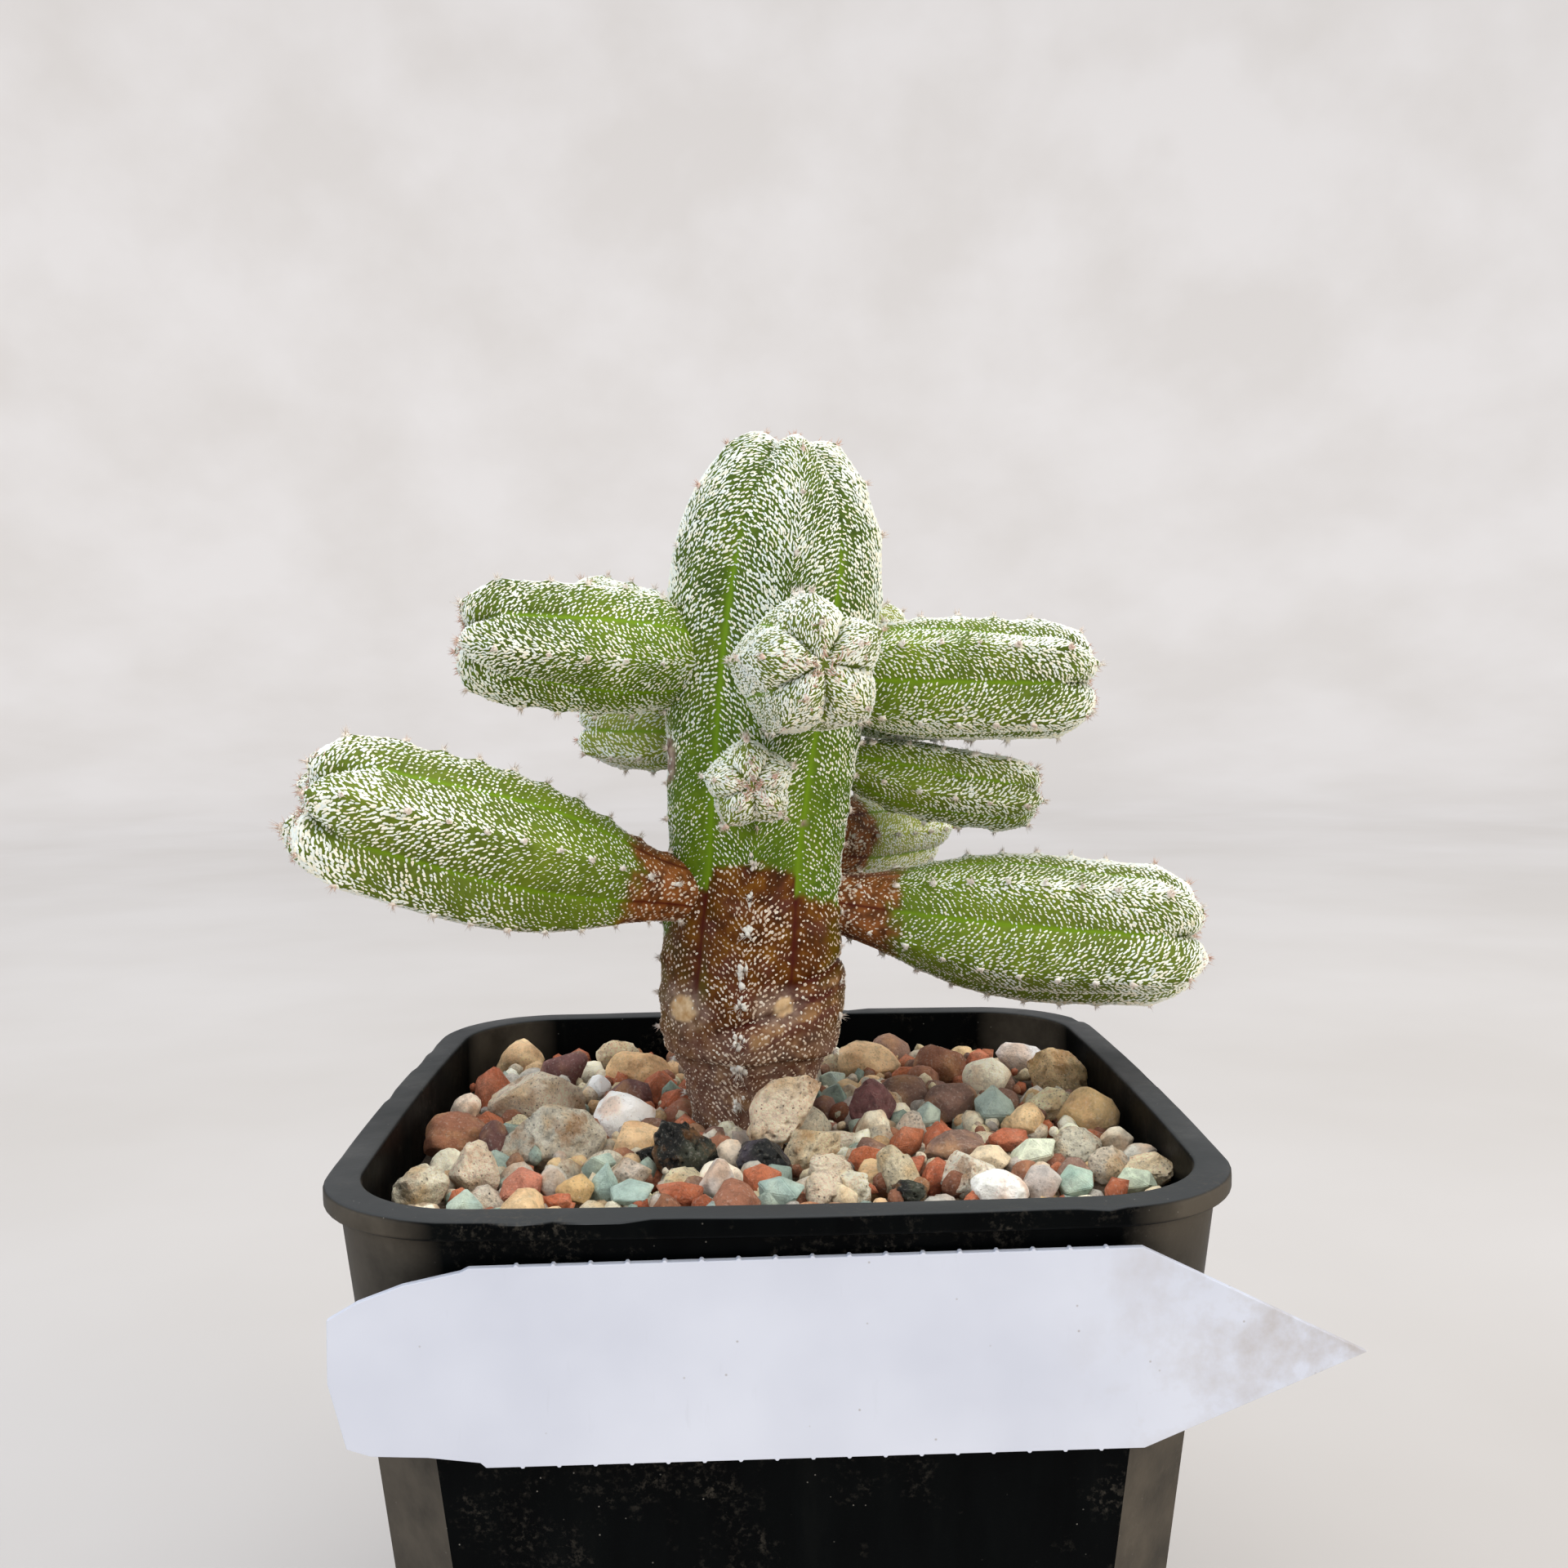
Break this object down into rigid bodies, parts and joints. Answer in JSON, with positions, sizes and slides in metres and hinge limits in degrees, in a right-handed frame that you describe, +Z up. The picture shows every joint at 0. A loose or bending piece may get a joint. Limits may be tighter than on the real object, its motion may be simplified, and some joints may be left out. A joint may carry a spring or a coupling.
{
  "type": "potted monstrose bishop's cap cactus",
  "caption": "Potted monstrose bishop's cap cactus: a white-flecked ribbed stem with stubby ribbed offsets, in mixed gravel in a square black nursery pot with a blank label.",
  "frame": {"origin": "centre of the pot's flat underside", "axes": "+Z up along the stem, -Y towards the front wall with the label, +X to the right as seen from the front"},
  "size_m": [0.0831, 0.0708, 0.1256],
  "materials": {
    "cactus_skin": "matt green skin with white woolly flecks, brown and corky towards the foot",
    "pot_plastic": "thin black moulded plastic, dusty and scuffed",
    "gravel": "mixed pumice, lava and gravel, dry and rough",
    "label_plastic": "bare white plastic strip with a few smudges of soil"
  },
  "bodies": {
    "root": {"main_stem": "cactus_skin", "offset_left_low": "cactus_skin", "offset_left_high": "cactus_skin", "offset_back_left_high": "cactus_skin", "offset_back_left_mid": "cactus_skin", "offset_front_high": "cactus_skin", "offset_front_low": "cactus_skin", "offset_right_high": "cactus_skin", "offset_right_mid": "cactus_skin", "offset_right_low": "cactus_skin", "offset_back_right_low": "cactus_skin", "offset_back_right_high": "cactus_skin", "offset_back_right_mid": "cactus_skin", "pot": "pot_plastic", "gravel_bed": "gravel", "plant_label": "label_plastic"}
  },
  "joints": []
}
